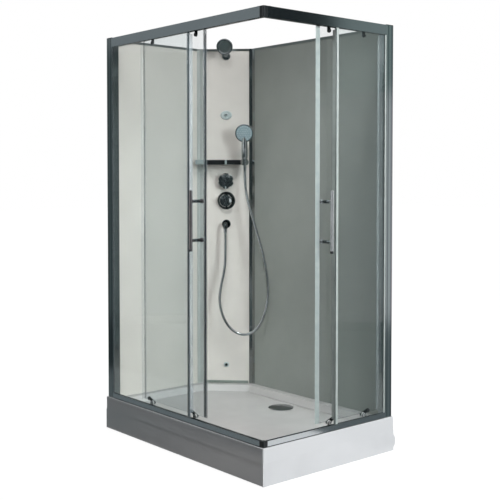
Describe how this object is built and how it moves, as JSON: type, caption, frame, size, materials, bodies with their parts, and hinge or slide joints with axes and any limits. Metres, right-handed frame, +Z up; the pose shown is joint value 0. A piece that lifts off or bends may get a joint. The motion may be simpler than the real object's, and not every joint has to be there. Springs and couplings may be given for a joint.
{
  "type": "shower enclosure with sliding doors",
  "caption": "Corner-entry glass shower enclosure on a raised tray, with sliding doors on rollers, closed back walls and a corner column with shower fittings.",
  "frame": {"origin": "on the floor, at the underside of the middle foot pad, under the centre of the tray", "axes": "+Z up; +X along the tray's long side towards the entry corner's end; +Y along its short side towards the grey back wall"},
  "size_m": [1.2315, 0.8434, 1.9922],
  "materials": {
    "acrylic_white": "glossy",
    "wall_white": "glossy",
    "wall_grey": "glossy",
    "frame_aluminium": "polished",
    "chrome_trim": "polished",
    "clear_glass": "polished",
    "seal_clear": "satin",
    "plastic_black": "satin",
    "plastic_white": "satin",
    "steel_zinc": "zinc plated",
    "brass_body": "cast",
    "pipe_plastic": "matte"
  },
  "bodies": {
    "enclosure": {"shower_tray": "acrylic_white", "apron_front": "acrylic_white", "apron_side": "acrylic_white", "support_bars": "steel_zinc", "foot_screws": "steel_zinc", "foot_pads": "plastic_black", "waste_trap": "plastic_white", "wall_panel_end": "wall_white", "wall_panel_back": "wall_grey", "column_panel": "wall_white", "column_profiles": "chrome_trim", "wall_trims": "frame_aluminium", "post_front": "frame_aluminium", "post_side": "frame_aluminium", "post_caps": "plastic_black", "top_rail_front": "frame_aluminium", "top_rail_side": "frame_aluminium", "bottom_rail_front": "frame_aluminium", "bottom_rail_side": "frame_aluminium", "corner_brackets": "plastic_black", "frame_screws": "steel_zinc", "fixed_glass_front": "clear_glass", "fixed_glass_side": "clear_glass", "fixed_seal_front": "seal_clear", "fixed_seal_side": "seal_clear", "overhead_arm": "chrome_trim", "jet_housings": "chrome_trim", "shelf": "plastic_black", "handset_holder": "chrome_trim", "hose": "chrome_trim", "hose_nuts": "chrome_trim", "outlet_elbow": "chrome_trim", "valve_block": "brass_body", "valve_rosettes": "chrome_trim", "pipework": "pipe_plastic"},
    "front_door": {"front_door_glass": "clear_glass", "front_door_lead_seal": "seal_clear", "front_door_trail_seal": "seal_clear", "front_door_handle": "chrome_trim", "front_door_carriers": "chrome_trim"},
    "front_wheel_top_lead": {"front_door_wheel_top_lead": "plastic_white"},
    "front_wheel_top_trail": {"front_door_wheel_top_trail": "plastic_white"},
    "front_wheel_bottom_lead": {"front_door_wheel_bottom_lead": "plastic_white"},
    "front_wheel_bottom_trail": {"front_door_wheel_bottom_trail": "plastic_white"},
    "side_door": {"side_door_glass": "clear_glass", "side_door_lead_seal": "seal_clear", "side_door_trail_seal": "seal_clear", "side_door_handle": "chrome_trim", "side_door_carriers": "chrome_trim"},
    "side_wheel_top_lead": {"side_door_wheel_top_lead": "plastic_white"},
    "side_wheel_top_trail": {"side_door_wheel_top_trail": "plastic_white"},
    "side_wheel_bottom_lead": {"side_door_wheel_bottom_lead": "plastic_white"},
    "side_wheel_bottom_trail": {"side_door_wheel_bottom_trail": "plastic_white"},
    "overhead_collar": {"overhead_collar": "chrome_trim"},
    "overhead_head": {"overhead_head": "chrome_trim"},
    "jet_eye": {"jet_eye": "chrome_trim"},
    "hand_shower": {"hand_shower": "chrome_trim"},
    "mixer_knob": {"mixer_knob": "chrome_trim"},
    "diverter_knob": {"diverter_knob": "chrome_trim"},
    "drain_cover": {"drain_cover": "chrome_trim"}
  },
  "joints": [
    {"name": "front_door_slide", "type": "slide", "parent": "enclosure", "child": "front_door", "axis": [1, 0, 0], "range_m": [-0.04, 0.379]},
    {"name": "side_door_slide", "type": "slide", "parent": "enclosure", "child": "side_door", "axis": [0, -1, 0], "range_m": [-0.012, 0.291]},
    {"name": "front_wheel_top_lead_roll", "type": "hinge", "parent": "front_door", "child": "front_wheel_top_lead", "pos_m": [0.1012, -0.369, 1.9213], "axis": [0, 1, 0], "range_deg": [-262, 2422]},
    {"name": "front_wheel_top_trail_roll", "type": "hinge", "parent": "front_door", "child": "front_wheel_top_trail", "pos_m": [-0.232, -0.369, 1.9213], "axis": [0, 1, 0], "range_deg": [-262, 2422]},
    {"name": "front_wheel_bottom_lead_roll", "type": "hinge", "parent": "front_door", "child": "front_wheel_bottom_lead", "pos_m": [0.1012, -0.369, 0.1913], "axis": [0, 1, 0], "range_deg": [-262, 2422]},
    {"name": "front_wheel_bottom_trail_roll", "type": "hinge", "parent": "front_door", "child": "front_wheel_bottom_trail", "pos_m": [-0.232, -0.369, 0.1913], "axis": [0, 1, 0], "range_deg": [-262, 2422]},
    {"name": "side_wheel_top_lead_roll", "type": "hinge", "parent": "side_door", "child": "side_wheel_top_lead", "pos_m": [0.569, 0.0108, 1.9213], "axis": [1, 0, 0], "range_deg": [-84, 1862]},
    {"name": "side_wheel_top_trail_roll", "type": "hinge", "parent": "side_door", "child": "side_wheel_top_trail", "pos_m": [0.569, 0.226, 1.9213], "axis": [1, 0, 0], "range_deg": [-84, 1862]},
    {"name": "side_wheel_bottom_lead_roll", "type": "hinge", "parent": "side_door", "child": "side_wheel_bottom_lead", "pos_m": [0.569, 0.0108, 0.1913], "axis": [1, 0, 0], "range_deg": [-84, 1862]},
    {"name": "side_wheel_bottom_trail_roll", "type": "hinge", "parent": "side_door", "child": "side_wheel_bottom_trail", "pos_m": [0.569, 0.226, 0.1913], "axis": [1, 0, 0], "range_deg": [-84, 1862]},
    {"name": "overhead_swivel", "type": "hinge", "parent": "enclosure", "child": "overhead_collar", "pos_m": [-0.44399, 0.24399, 1.96], "axis": [0, 0, 1], "range_deg": [-18, 18]},
    {"name": "overhead_tilt", "type": "hinge", "parent": "overhead_collar", "child": "overhead_head", "pos_m": [-0.44399, 0.24399, 1.96], "axis": [0.7071, 0.7071, 0], "range_deg": [-18, 18]},
    {"name": "jet_tilt", "type": "hinge", "parent": "enclosure", "child": "jet_eye", "pos_m": [-0.485, 0.285, 1.596], "axis": [0.7071, 0.7071, 0], "range_deg": [-15, 15]},
    {"name": "hand_shower_twist", "type": "hinge", "parent": "enclosure", "child": "hand_shower", "pos_m": [-0.35984, 0.30834, 1.344], "axis": [0.0984, -0.0984, 0.9903], "range_deg": [-35, 35]},
    {"name": "mixer_turn", "type": "hinge", "parent": "enclosure", "child": "mixer_knob", "pos_m": [-0.47086, 0.27086, 1.138], "axis": [0.7071, -0.7071, 0], "range_deg": [-50, 50]},
    {"name": "diverter_turn", "type": "hinge", "parent": "enclosure", "child": "diverter_knob", "pos_m": [-0.47086, 0.27086, 1.243], "axis": [0.7071, -0.7071, 0], "range_deg": [-135, 135]},
    {"name": "drain_cover_lift", "type": "slide", "parent": "enclosure", "child": "drain_cover", "axis": [0, 0, 1], "range_m": [0, 0.03]}
  ],
  "couplings": [
    {"joint": "front_wheel_top_lead_roll", "follows": "front_door_slide", "rad_per_m": 111.11},
    {"joint": "front_wheel_top_trail_roll", "follows": "front_door_slide", "rad_per_m": 111.11},
    {"joint": "front_wheel_bottom_lead_roll", "follows": "front_door_slide", "rad_per_m": 111.11},
    {"joint": "front_wheel_bottom_trail_roll", "follows": "front_door_slide", "rad_per_m": 111.11},
    {"joint": "side_wheel_top_lead_roll", "follows": "side_door_slide", "rad_per_m": 111.11},
    {"joint": "side_wheel_top_trail_roll", "follows": "side_door_slide", "rad_per_m": 111.11},
    {"joint": "side_wheel_bottom_lead_roll", "follows": "side_door_slide", "rad_per_m": 111.11},
    {"joint": "side_wheel_bottom_trail_roll", "follows": "side_door_slide", "rad_per_m": 111.11}
  ]
}
